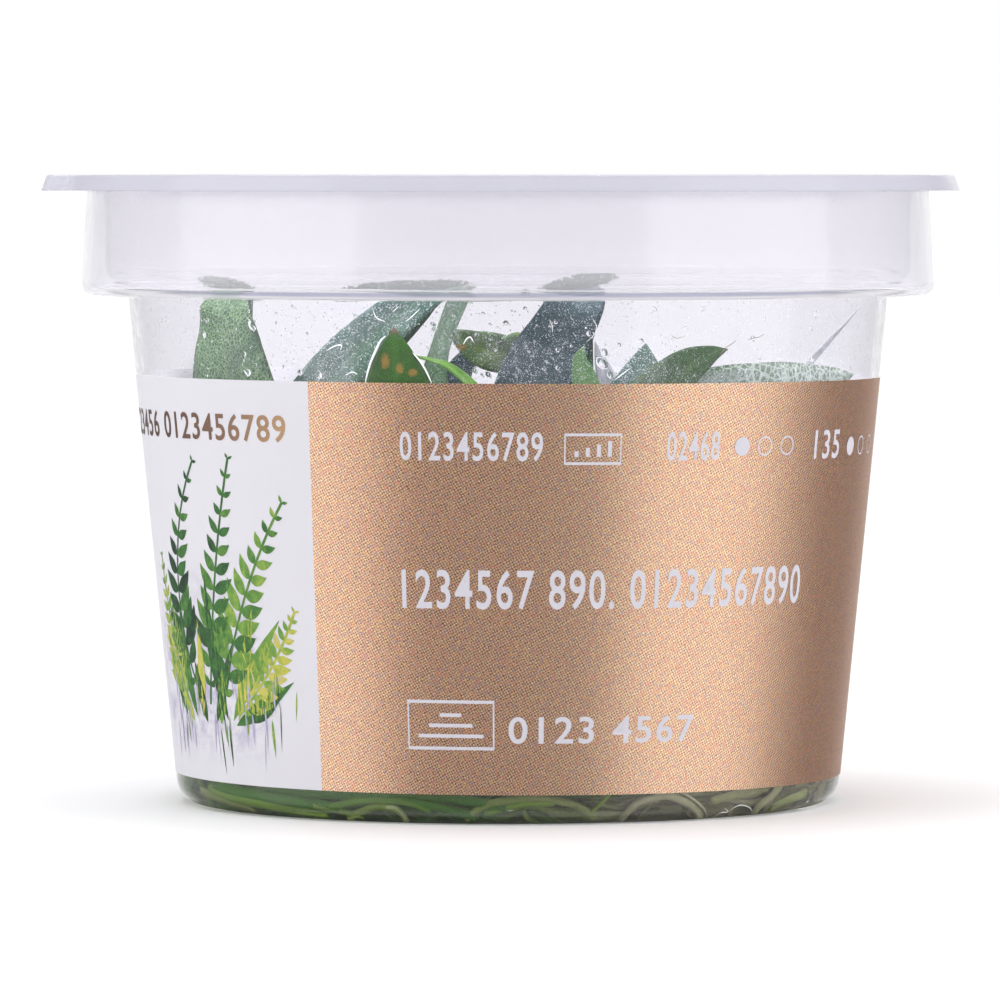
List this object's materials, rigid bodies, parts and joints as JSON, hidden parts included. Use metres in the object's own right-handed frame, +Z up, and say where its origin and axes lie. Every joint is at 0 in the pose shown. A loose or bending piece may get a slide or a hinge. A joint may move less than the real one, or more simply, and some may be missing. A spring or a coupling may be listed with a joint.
{
  "type": "tissue culture pangolino anubias",
  "caption": "Young anubias plantlets rooted in growth gel inside a sealed clear stepped cup with a press-in lid and a printed wrap label, for planting in an aquarium.",
  "frame": {"origin": "on the cup's axis, in the flat face that it stands on", "axes": "+Z up along the cup's axis; -Y is the front, where the label's white and gold panels meet left of the middle; the lid's pull tab points to -X"},
  "size_m": [0.0998, 0.098, 0.068],
  "materials": {
    "cup_plastic": "clear polypropylene with a faint lilac cast",
    "lid_plastic": "clear polypropylene, slightly milky at its flange",
    "label_print": "matt white panel and satin metallic gold panel",
    "gel": "clear wet growth gel, mostly water",
    "rhizome": "satin",
    "leaf": "satin, wet in places"
  },
  "bodies": {
    "root": {"cup": "cup_plastic", "gel": "gel", "label": "label_print", "leaf_1_1": "leaf", "leaf_1_2": "leaf", "leaf_1_3": "leaf", "leaf_1_4": "leaf", "leaf_2_1": "leaf", "leaf_2_2": "leaf", "leaf_2_3": "leaf", "leaf_2_4": "leaf", "leaf_3_1": "leaf", "leaf_3_2": "leaf", "leaf_3_3": "leaf", "leaf_3_4": "leaf", "leaf_3_5": "leaf", "leaf_4_1": "leaf", "leaf_4_2": "leaf", "leaf_4_3": "leaf", "leaf_4_4": "leaf", "leaf_4_5": "leaf", "leaf_5_1": "leaf", "leaf_5_2": "leaf", "leaf_5_3": "leaf", "leaf_5_4": "leaf", "leaf_6_1": "leaf", "leaf_6_2": "leaf", "leaf_6_3": "leaf", "leaf_6_4": "leaf", "lid": "lid_plastic", "rhizome_1": "rhizome", "rhizome_2": "rhizome", "rhizome_3": "rhizome", "rhizome_4": "rhizome", "rhizome_5": "rhizome", "rhizome_6": "rhizome"}
  },
  "joints": []
}
